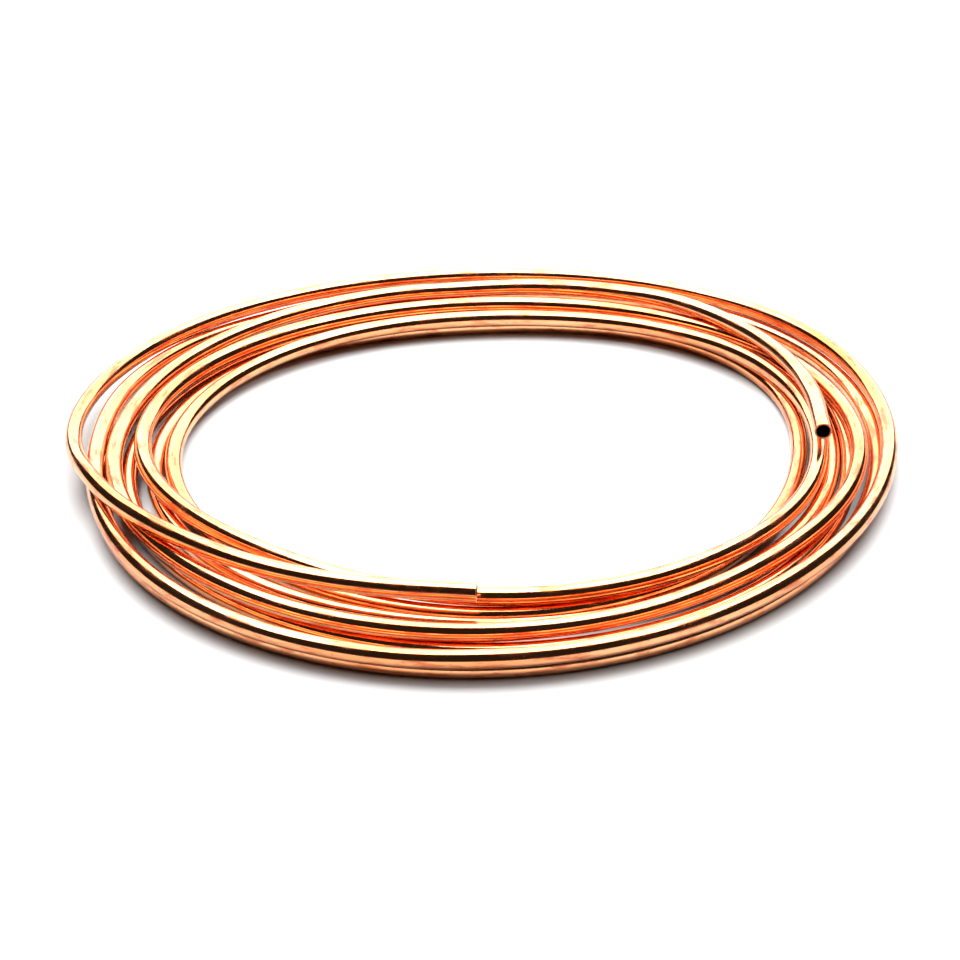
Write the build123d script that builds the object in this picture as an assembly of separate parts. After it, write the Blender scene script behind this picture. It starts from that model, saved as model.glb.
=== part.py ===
"""A coil of soft copper tube, lying flat: one length of tube wound round nearly eight times.

Millimetres, +Z up. The coil lies on the plane Z = 0, with the middle of its box over the origin.
The tube is lofted in short straight runs along its own route. Its turns were let go after winding,
so they differ in size, cross, and lie on the floor or on each other. Both cut ends are round,
straight and level, and lie on top of the turns with their bore open.
"""

from build123d import *
from build123d.topology import SkipClean
import os

import numpy as np

# Tube
tube_d = 10.0  # outside diameter
tube_wall = 1.0
turn_sides = 12  # flats round the tube along its turns, with one flat down
corner_inset = 0.02  # how far the corners of those flats lie inside the round of the ends

# Turns
eye_d = 330.0  # largest round that goes through the middle of the coil
runs_in_turn = 48  # straight runs in each turn
turn_gap = 0.1  # clear space between turns that lie on each other
bridged_runs = 2  # how far a turn stays lifted on both sides of what it rides over

# Free ends
end_straight = 25.0  # straight level stretch at each cut end, and how deep its open bore is cut
end_lift = 1.0  # clear space under the ends, above two layers of turns
first_bend = 10.0  # degrees clockwise from the front to where the front end starts to bend
last_bend = 265.0  # the same for the right end, in the last turn
first_rise = 75.0  # degrees over which the front end rises out of the turns
last_rise = 40.0  # the same for the right end

# Each row is one turn, clockwise, from the end at the front to the end at the right. It gives how
# far the tube's middle lies outside the eye where it passes the front, front left, left, back left,
# back, back right, right and front right.
outside_eye = (
    (16.5, 35.0, 72.0, 75.5, 73.0, 84.5, 62.5, 52.3),
    (62.5, 65.8, 58.7, 71.5, 68.5, 79.5, 56.0, 48.2),
    (57.0, 60.7, 55.0, 54.0, 49.0, 59.0, 41.0, 35.0),
    (42.0, 41.2, 39.5, 37.0, 34.0, 46.0, 26.5, 16.0),
    (18.0, 22.0, 25.5, 23.0, 17.0, 34.0, 11.5, 5.5),
    (7.0, 6.5, 15.5, 14.0, 10.5, 27.5, 22.5, 10.2),
    (4.5, 6.5, 33.0, 32.0, 29.0, 43.0, 45.0, 32.7),
    (39.0, 44.5, 48.3, 50.0, 50.0, 41.0, 22.3, 7.0),
)
laid_in_order = (2, 3, 4, 1, 5, 6, 7, 0)  # rows of the table, from the floor up
settling_passes = 3

# Sizes that follow from these
tube_r = tube_d / 2
bore_r = tube_r - tube_wall
pitch = tube_d + turn_gap
end_z = 2 * tube_d + end_lift + tube_r
run_degrees = 360 / runs_in_turn


def smooth_between(values, places):
    """The natural cubic through values spaced one apart, which has no bend at its ends. Each span
    is its straight line plus cubic terms weighted by the second derivatives at both its ends."""
    count = len(values)
    system = 4 * np.eye(count) + np.eye(count, k=1) + np.eye(count, k=-1)
    system[0], system[-1] = np.eye(count)[0], np.eye(count)[-1]
    right_side = np.zeros(count)
    right_side[1:-1] = 6 * (values[2:] - 2 * values[1:-1] + values[:-2])
    bends = np.linalg.solve(system, right_side)
    span = np.clip(places.astype(int), 0, count - 2)
    after = places - span
    before = 1 - after
    straight = values[span] * before + values[span + 1] * after
    bent = (before**3 - before) * bends[span] + (after**3 - after) * bends[span + 1]
    return straight + bent / 6


def bridged(heights):
    """Heights as a stiff tube takes them: the highest within a reach to both sides, then the mean
    over the same reach, which nowhere lies below what the tube rests on."""
    width = 2 * bridged_runs + 1
    padded = np.pad(heights, 2 * bridged_runs, mode="edge")
    highest = np.lib.stride_tricks.sliding_window_view(padded, width).max(axis=1)
    return np.lib.stride_tricks.sliding_window_view(highest, width).mean(axis=1)


def resting_height(row, radii, heights, rows_under):
    """Where a turn comes to rest, on the floor or against each turn that was laid before it."""
    rest = np.full(runs_in_turn, tube_r)
    for under in rows_under:
        gap = np.abs(radii[row] - radii[under])
        rise = np.sqrt(np.clip(pitch**2 - gap**2, 0, None))
        rest = np.where(gap < pitch, np.maximum(rest, heights[under] + rise), rest)
    return rest


def settled(radius):
    """The height of each point of the route once the turns are laid, each in its order."""
    count = len(radius)
    radii = np.full((len(outside_eye) + 1, runs_in_turn), np.inf)
    radii.flat[:count] = radius
    resting = np.full(radii.shape, tube_r)
    heights = resting.copy()
    for _ in range(settling_passes):
        for place, row in enumerate(laid_in_order):
            resting[row] = resting_height(row, radii, heights, laid_in_order[:place])
            heights.flat[:count] = bridged(resting.flat[:count])
    return heights.flat[:count]


def free_share(degrees_from_bend, rise):
    """One at a free end, none where its rise begins, and level at both."""
    share = np.clip(1 - degrees_from_bend / rise, 0, 1)
    return share**2 * (3 - 2 * share)


def stretched(bend, cut):
    """The cut end's place, once the level run from its bend has its real length."""
    run = cut - bend
    return bend + run * end_straight / np.linalg.norm(run)


def route():
    """The middle line of the tube, one point for each end of a straight run."""
    rows, places = np.shape(outside_eye)
    last_turn = 360 * (rows - 1)
    degrees = np.arange(first_bend - run_degrees, last_turn + last_bend + 1.5 * run_degrees, run_degrees)
    radius = smooth_between(eye_d / 2 + np.ravel(outside_eye), degrees * places / 360)
    height = settled(radius)
    free = free_share(degrees - degrees[1], first_rise) + free_share(degrees[-2] - degrees, last_rise)
    height = height + (end_z - height) * free
    angle = np.radians(-90 - degrees)
    points = np.stack([radius * np.cos(angle), radius * np.sin(angle), height], axis=1)
    points[0] = stretched(points[1], points[0])
    points[-1] = stretched(points[-2], points[-1])
    return [Vector(*point) for point in points.tolist()]


def across(point, ahead):
    """The plane square to the tube at a point, with its Y up."""
    return Plane(origin=point, x_dir=ahead.cross(Vector(0, 0, 1)), z_dir=ahead)


def turns(points):
    """The tube between its two straight ends, lofted through a section at each point."""
    flats = RegularPolygon(tube_r - corner_inset, turn_sides, rotation=180 / turn_sides)
    runs = [(after - before).normalized() for before, after in zip(points, points[1:])]
    aheads = [runs[0]] + [a + b for a, b in zip(runs[1:], runs[2:-1])] + [runs[-1]]
    sections = [across(point, ahead) * flats for point, ahead in zip(points[1:-1], aheads)]
    return loft(sections, ruled=True, clean=False)


def end_stretch(cut, bend):
    """The round tube from a cut end to its bend, with its bore open all the way."""
    section = across(cut, bend - cut) * (Circle(tube_r) - Circle(bore_r))
    return extrude(section, amount=(bend - cut).length)


def copper_tube():
    """The whole length as one solid: the turns with both cut ends."""
    points = route()
    ends = [(points[0], points[1]), (points[-1], points[-2])]
    with SkipClean():
        solid = turns(points) + [end_stretch(cut, bend) for cut, bend in ends]
    box = solid.bounding_box()
    middle = Vector(box.center().X, box.center().Y, box.min.Z)
    for cut, bend in ends:
        print("cut end", cut - middle, "pointing", (cut - bend).normalized())
    length = sum((after - before).length for before, after in zip(points, points[1:]))
    print("length", length, "eye's middle", -middle)
    return Pos(-middle) * solid


tube = copper_tube()
os.makedirs("parts", exist_ok=True)
export_step(tube, "parts/copper_tube.step")
print("copper_tube", tube.bounding_box(), "volume", tube.volume)
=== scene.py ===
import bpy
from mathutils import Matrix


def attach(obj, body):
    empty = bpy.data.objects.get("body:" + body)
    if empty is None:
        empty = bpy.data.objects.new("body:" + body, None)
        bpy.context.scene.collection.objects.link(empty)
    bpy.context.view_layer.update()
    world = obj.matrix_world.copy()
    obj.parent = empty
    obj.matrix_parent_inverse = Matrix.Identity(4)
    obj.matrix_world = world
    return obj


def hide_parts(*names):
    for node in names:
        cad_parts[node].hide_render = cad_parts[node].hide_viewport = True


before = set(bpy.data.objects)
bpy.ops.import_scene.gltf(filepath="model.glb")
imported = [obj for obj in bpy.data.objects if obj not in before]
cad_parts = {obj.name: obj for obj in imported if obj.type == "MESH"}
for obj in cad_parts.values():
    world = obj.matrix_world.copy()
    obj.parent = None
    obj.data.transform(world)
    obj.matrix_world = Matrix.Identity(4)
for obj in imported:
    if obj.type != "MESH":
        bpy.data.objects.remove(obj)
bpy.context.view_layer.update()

import math

import bpy
import numpy as np
from mathutils import Vector

# The coiled tube
#
# One length of soft drawn copper tube, annealed, wound round and round at the mill, then let go. No
# two turns have the same shape: the lowest lie on the floor, and the rest on them and on each other.
# Both ends are sawn, straight and level. Millimetres, and degrees clockwise from the front.
TUBE_D, WALL = 10.0, 1.0
EYE_D = 330.0
EYE_MIDDLE = np.array([4.3, -5.25])
# Each row is one turn, from the end at the front to the end at the right. It gives how far the tube's
# middle lies outside the eye at the front, front left, left, back left, back, back right, right and
# front right.
OUTSIDE_EYE = np.array(
    [
        [16.5, 35.0, 72.0, 75.5, 73.0, 84.5, 62.5, 52.3],
        [62.5, 65.8, 58.7, 71.5, 68.5, 79.5, 56.0, 48.2],
        [57.0, 60.7, 55.0, 54.0, 49.0, 59.0, 40.5, 37.8],
        [42.0, 41.2, 39.5, 37.0, 34.0, 46.0, 30.2, 20.5],
        [18.0, 22.0, 25.5, 23.0, 17.0, 34.0, 11.5, 5.5],
        [7.0, 6.5, 15.5, 14.0, 10.5, 27.5, 22.5, 10.2],
        [4.5, 6.5, 33.0, 32.0, 29.0, 43.0, 45.0, 31.7],
        [39.0, 44.5, 48.3, 50.0, 50.0, 41.0, 22.3, 7.0],
    ]
)
LAID_IN_ORDER = (2, 3, 4, 1, 5, 6, 7, 0)
SETTLING_PASSES = 3
STATIONS_IN_TURN = 48
BRIDGED, FILLED, SMOOTHED = 2, 3, 2  # stations to each side
FIRST_BEND, LAST_BEND = 10.0, 265.0
FIRST_RISE, LAST_RISE = 75.0, 40.0
END_STRAIGHT, END_Z = 25.0, 25.81
RING_STEP, END_RINGS = 2.0, 4  # degrees between rings of points, and rings in each straight end
A_HAIR, FAR_AWAY = 0.1, 1e6  # degrees past the last bend, and a radius at which no turn is touched


def smooth_between(values, places):
    """The natural cubic through values spaced one apart, which has no bend at its ends. Each span
    is its straight line plus cubic terms weighted by the second derivatives at both its ends."""
    count = len(values)
    system = 4 * np.eye(count) + np.eye(count, k=1) + np.eye(count, k=-1)
    system[0], system[-1] = np.eye(count)[0], np.eye(count)[-1]
    right_side = np.zeros(count)
    right_side[1:-1] = 6 * (values[2:] - 2 * values[1:-1] + values[:-2])
    bends = np.linalg.solve(system, right_side)
    span = np.clip(places.astype(int), 0, count - 2)
    after = places - span
    before = 1 - after
    straight = values[span] * before + values[span + 1] * after
    bent = (before**3 - before) * bends[span] + (after**3 - after) * bends[span + 1]
    return straight + bent / 6


def around_each(values, reach):
    """The values within a reach to both sides of each."""
    padded = np.pad(values, reach, mode="edge")
    return np.lib.stride_tricks.sliding_window_view(padded, 2 * reach + 1)


def bridged(heights):
    """Heights as a stiff tube takes them: the highest within a reach to both sides, then the mean
    over the same reach, which nowhere lies below what the tube rests on."""
    highest = around_each(heights, BRIDGED).max(axis=1)
    return around_each(highest, BRIDGED).mean(axis=1)


def eased(heights):
    """Short dips filled, by the highest and then the lowest within a reach, and then no lower than
    the mean around, so that the way down from a high place is smooth."""
    filled = around_each(around_each(heights, FILLED).max(axis=1), FILLED).min(axis=1)
    return np.maximum(filled, around_each(filled, SMOOTHED).mean(axis=1))


def resting_height(row, radii, slopes, heights, rows_under):
    """Where a turn comes to rest, on the floor or against each turn that was laid before it: the
    square root of the diameter squared less the clear distance squared above that turn, the
    distance being the radial gap times the cosine of the angle at which the two cross."""
    rest = np.full(STATIONS_IN_TURN, TUBE_D / 2)
    for under in rows_under:
        crossing = np.hypot(1, (slopes[row] - slopes[under]) / radii[row])
        gap = np.abs(radii[row] - radii[under]) / crossing
        rise = np.sqrt(np.clip(TUBE_D**2 - gap**2, 0, None))
        rest = np.where(gap < TUBE_D, np.maximum(rest, heights[under] + rise), rest)
    return rest


def free_share(degrees_from_bend, rise):
    """One at a free end, none where its rise begins, and level at both."""
    share = np.clip(1 - degrees_from_bend / rise, 0, 1)
    return share**2 * (3 - 2 * share)


turns, places = OUTSIDE_EYE.shape
coil_end = 360 * (turns - 1) + LAST_BEND + A_HAIR
radius_at_places = EYE_D / 2 + OUTSIDE_EYE.ravel()
station = FIRST_BEND + np.arange(STATIONS_IN_TURN * turns) * 360 / STATIONS_IN_TURN
station_r = smooth_between(radius_at_places, station * places / 360)
slopes = np.gradient(station_r, np.radians(station[1] - station[0])).reshape(turns, -1)
on_tube = station <= coil_end
radii = np.where(on_tube, station_r, FAR_AWAY).reshape(turns, -1)
resting = np.full(radii.shape, TUBE_D / 2)
heights = resting.copy()
for settling_pass in range(SETTLING_PASSES):
    for place, row in enumerate(LAID_IN_ORDER):
        resting[row] = resting_height(row, radii, slopes, heights, LAID_IN_ORDER[:place])
        heights.flat[on_tube] = bridged(resting.flat[on_tube])
heights[0] = eased(heights[:2].ravel())[:STATIONS_IN_TURN]

degrees = np.arange(FIRST_BEND, coil_end, RING_STEP)
radius = smooth_between(radius_at_places, degrees * places / 360)
settled = smooth_between(heights.ravel()[on_tube], (degrees - FIRST_BEND) * STATIONS_IN_TURN / 360)
height = np.maximum(settled, TUBE_D / 2)
free = free_share(degrees - degrees[0], FIRST_RISE) + free_share(degrees[-1] - degrees, LAST_RISE)
height = height + (END_Z - height) * free
angle = np.radians(-90 - degrees)
east = radius * np.cos(angle) + EYE_MIDDLE[0]
north = radius * np.sin(angle) + EYE_MIDDLE[1]
bent = np.stack([east, north, height], axis=1)
first_out = (bent[0] - bent[1]) * [1, 1, 0]
last_out = (bent[-1] - bent[-2]) * [1, 1, 0]
reach = np.linspace(END_STRAIGHT, 0, END_RINGS + 1)[:-1, None]
first_end = bent[0] + reach * first_out / np.linalg.norm(first_out)
last_end = bent[-1] + reach[::-1] * last_out / np.linalg.norm(last_out)
route = np.concatenate([first_end, bent, last_end]) / 1000

OUTER_R, BORE_R = TUBE_D / 2000, TUBE_D / 2000 - WALL / 1000
SIDES = 32
RIM_R = BORE_R + (OUTER_R - BORE_R) * np.array([0.99, 0.96, 0.9, 0.1, 0.04, 0.01])
RIM_OUT = np.array([0.15, 0.3, 0.35, 0.35, 0.3, 0.15]) / 1000


def tube_skin(path):
    """The whole skin of a tube as one closed band of rings: out along the path at the outer radius,
    round the softened rim of the far cut, back along the bore and round the near rim. A point of a
    ring is the path's point + r (side cos a + up sin a), with side and up square to the path.
    Returns the points, their places on the straight tube, and how far each is in the bore."""
    ahead = np.gradient(path, axis=0)
    ahead /= np.linalg.norm(ahead, axis=1)[:, None]
    side = np.cross(ahead, [0.0, 0.0, 1.0])
    side /= np.linalg.norm(side, axis=1)[:, None]
    up = np.cross(side, ahead)
    along = np.concatenate([[0], np.cumsum(np.linalg.norm(np.diff(path, axis=0), axis=1))])
    count, rim = len(path), len(RIM_R)
    there = np.arange(count)
    spot = np.concatenate([there, np.full(rim, count - 1), there[::-1], np.full(rim, 0)])
    ring_r = np.concatenate([np.full(count, OUTER_R), RIM_R, np.full(count, BORE_R), RIM_R[::-1]])
    push = np.concatenate([np.zeros(count), RIM_OUT, np.zeros(count), -RIM_OUT[::-1]])
    around = np.linspace(0, 2 * np.pi, SIDES, endpoint=False)
    wave = np.stack([np.cos(around), np.sin(around)])
    out = side[spot, None] * wave[0][None, :, None] + up[spot, None] * wave[1][None, :, None]
    middle = path[spot] + ahead[spot] * push[:, None]
    points = middle[:, None] + out * ring_r[:, None, None]
    straight = np.empty(points.shape)
    straight[..., 0] = (along[spot] + push)[:, None]
    straight[..., 1:] = ring_r[:, None, None] * wave.T[None]
    depth = (OUTER_R - ring_r) / (OUTER_R - BORE_R)
    return points, straight, np.repeat(depth, SIDES)


points, straight, depth = tube_skin(route)
ring, side = np.indices(points.shape[:2])
next_ring, next_side = (ring + 1) % len(points), (side + 1) % SIDES
corners = [(ring, side), (next_ring, side), (next_ring, next_side), (ring, next_side)]
faces = np.stack([r * SIDES + s for r, s in corners], axis=-1).reshape(-1, 4)
mesh = bpy.data.meshes.new("coiled_tube")
mesh.from_pydata(points.reshape(-1, 3), [], faces)
mesh.polygons.foreach_set("use_smooth", np.ones(len(faces), bool))
as_drawn = mesh.attributes.new("as_drawn", "FLOAT_VECTOR", "POINT")
as_drawn.data.foreach_set("vector", straight.astype(np.float32).ravel())
in_bore = mesh.attributes.new("in_bore", "FLOAT", "POINT")
in_bore.data.foreach_set("value", depth.astype(np.float32))
mesh.update()
tube = bpy.data.objects.new("coiled_tube", mesh)
bpy.context.scene.collection.objects.link(tube)
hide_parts("copper_tube")
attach(tube, "root")


class Shade:
    """A shader socket that can be reckoned with; any other node comes from the node method."""

    def __init__(self, tree, socket=None):
        self.tree, self.socket = tree, socket

    def node(self, kind, settings, sockets, output=0):
        """A node of a type, with its settings made first and then the values or links of its
        sockets, which go by name or by number."""
        made = self.tree.nodes.new("ShaderNode" + kind)
        for key, value in settings.items():
            setattr(made, key, value)
        for key, value in sockets.items():
            if isinstance(value, Shade):
                self.tree.links.new(value.socket, made.inputs[key])
            else:
                made.inputs[key].default_value = value
        return Shade(self.tree, made.outputs[output])

    def reckon(self, operation, first, second):
        return self.node("Math", {"operation": operation}, {0: first, 1: second})

    def __add__(self, other):
        return self.reckon("ADD", self, other)

    def __radd__(self, other):
        return self.reckon("ADD", other, self)

    def __sub__(self, other):
        return self.reckon("SUBTRACT", self, other)

    def __rsub__(self, other):
        return self.reckon("SUBTRACT", other, self)

    def __mul__(self, other):
        return self.reckon("MULTIPLY", self, other)

    def __rmul__(self, other):
        return self.reckon("MULTIPLY", other, self)

    def clamped(self):
        return self.node("Clamp", {}, {"Value": self})

    def grain(self, per_metre, detail, roughness=0.5):
        """Noise with so many grains in a metre along the tube, across it and up it."""
        placed = self.node("VectorMath", {"operation": "MULTIPLY"}, {0: self, 1: per_metre})
        look = {"Vector": placed, "Scale": 1.0, "Detail": detail, "Roughness": roughness}
        return self.node("TexNoise", {}, look)

    def mixed(self, first, second):
        """Between two colours, by this value."""
        return self.node("Mix", {"data_type": "RGBA"}, {0: self, 6: first, 7: second}, output=2)


# Bright drawn copper. The die leaves hair-fine lines along the tube, annealing a slow change of
# tint, and winding and hands leave dull patches and dark specks. The sawn rims are bare and matt,
# and the bore keeps a brown bloom.
TINT_GRAIN, PATCH_GRAIN = (9.0, 90.0, 90.0), (45.0, 220.0, 220.0)
LINE_GRAIN, SPECK_GRAIN = (14.0, 5200.0, 5200.0), (420.0, 700.0, 700.0)
PALE_COPPER = (0.93, 0.45, 0.22, 1)
DEEP_COPPER = (0.80, 0.27, 0.10, 1)
DULL_COPPER = (0.50, 0.12, 0.05, 1)
DARK_SPECK = (0.34, 0.09, 0.05, 1)
BROWN_BLOOM = (0.33, 0.13, 0.07, 1)
SAWN_COPPER = (0.97, 0.60, 0.40, 1)
material = bpy.data.materials.new("drawn_copper")
material.use_nodes = True
tree = material.node_tree
start = Shade(tree)
drawn = start.node("Attribute", {"attribute_name": "as_drawn"}, {}, output=1)
bore = start.node("Attribute", {"attribute_name": "in_bore"}, {}, output=2)
rim = bore * (1 - bore) * 4
tint = (drawn.grain(TINT_GRAIN, detail=4.0) * 3.2 - 1.1).clamped()
patch = (drawn.grain(PATCH_GRAIN, detail=5.0, roughness=0.62) * 8 - 4.0).clamped()
line = drawn.grain(LINE_GRAIN, detail=2.0)
speck = (drawn.grain(SPECK_GRAIN, detail=2.0) * 9 - 5.9).clamped()
colour = tint.mixed(PALE_COPPER, DEEP_COPPER)
colour = (patch * 0.8).mixed(colour, DULL_COPPER)
colour = (speck * 0.8).mixed(colour, DARK_SPECK)
colour = (bore * 0.85).mixed(colour, BROWN_BLOOM)
colour = rim.clamped().mixed(colour, SAWN_COPPER)
rough = 0.07 + 0.09 * line + 0.14 * patch + 0.12 * speck + 0.2 * bore + 0.45 * rim
relief = {"Strength": 0.35, "Distance": 2e-5, "Height": line + patch * 0.6}
bump = start.node("Bump", {}, relief)
shader = tree.nodes["Principled BSDF"]
shader.inputs["Metallic"].default_value = 1
tree.links.new(colour.socket, shader.inputs["Base Color"])
tree.links.new(rough.socket, shader.inputs["Roughness"])
tree.links.new(bump.socket, shader.inputs["Normal"])
mesh.materials.append(material)

# The floor
#
# A plain matt board, lit until it is as pale as paper.
FLOOR_HALF = 6.0
BOARD_GREY = (0.38, 0.38, 0.38, 1)
floor_corners = [(x * FLOOR_HALF, y * FLOOR_HALF, 0) for x, y in ((-1, -1), (1, -1), (1, 1), (-1, 1))]
floor_mesh = bpy.data.meshes.new("floor")
floor_mesh.from_pydata(floor_corners, [], [(0, 1, 2, 3)])
floor = bpy.data.objects.new("floor", floor_mesh)
bpy.context.scene.collection.objects.link(floor)
board = bpy.data.materials.new("pale_board")
board.use_nodes = True
board_shader = board.node_tree.nodes["Principled BSDF"]
board_shader.inputs["Base Color"].default_value = BOARD_GREY
board_shader.inputs["Roughness"].default_value = 0.9
board_shader.inputs["Specular IOR Level"].default_value = 0.1
floor_mesh.materials.append(board)

# The light
#
# A large soft box over the coil and a tilted one behind it that meets its edge, in a dark room, so
# that the tops of the turns shine white and their near sides stay dark. A wide soft fill from above
# isn't seen in reflections, and lightens the shadow on the floor.
SOFT_BOXES = (
    # name, place, what it faces, width, length and power
    ("top_box", (0.0, 0.62, 1.9), (0.0, 0.62, 0.0), 2.8, 2.06, 150.0),
    ("back_box", (0.0, 2.03, 1.08), (0.0, 0.0, 0.0), 3.4, 1.8, 66.0),
)
ROOM_STRENGTH = 0.025
FILL_STRENGTH, FILL_SPREAD = 5.0, 70
for name, place, target, width, length, power in SOFT_BOXES:
    lamp = bpy.data.lights.new(name, "AREA")
    lamp.shape = "RECTANGLE"
    lamp.size, lamp.size_y, lamp.energy = width, length, power
    holder = bpy.data.objects.new(name, lamp)
    holder.location = place
    holder.rotation_euler = (Vector(target) - Vector(place)).to_track_quat("-Z", "Y").to_euler()
    bpy.context.scene.collection.objects.link(holder)
fill = bpy.data.lights.new("soft_fill", "SUN")
fill.energy, fill.angle = FILL_STRENGTH, math.radians(FILL_SPREAD)
fill_holder = bpy.data.objects.new("soft_fill", fill)
fill_holder.location = (0, 0, 3)
fill_holder.visible_glossy = False
bpy.context.scene.collection.objects.link(fill_holder)
world = bpy.data.worlds.new("studio")
bpy.context.scene.world = world
world.use_nodes = True
world.node_tree.nodes["Background"].inputs["Color"].default_value = (1, 1, 1, 1)
world.node_tree.nodes["Background"].inputs["Strength"].default_value = ROOM_STRENGTH

# The camera
#
# A long lens, 28 degrees above the floor, aimed at the middle of the eye. The picture's middle lies
# a little to the left of and below that point.
ELEVATION, DISTANCE = math.radians(28), 1.49
SENSOR, FOCAL_LENGTH = 36, 97.6
OFF_MIDDLE = (-10 / 960, -13 / 960)
lens = bpy.data.cameras.new("camera")
lens.sensor_width, lens.lens = SENSOR, FOCAL_LENGTH
lens.shift_x, lens.shift_y = OFF_MIDDLE
camera = bpy.data.objects.new("camera", lens)
away = Vector((0, -math.cos(ELEVATION), math.sin(ELEVATION)))
camera.location = Vector((*EYE_MIDDLE / 1000, 0)) + away * DISTANCE
camera.rotation_euler = (-away).to_track_quat("-Z", "Y").to_euler()
bpy.context.scene.collection.objects.link(camera)
bpy.context.scene.camera = camera
bpy.context.scene.view_settings.view_transform = "Standard"
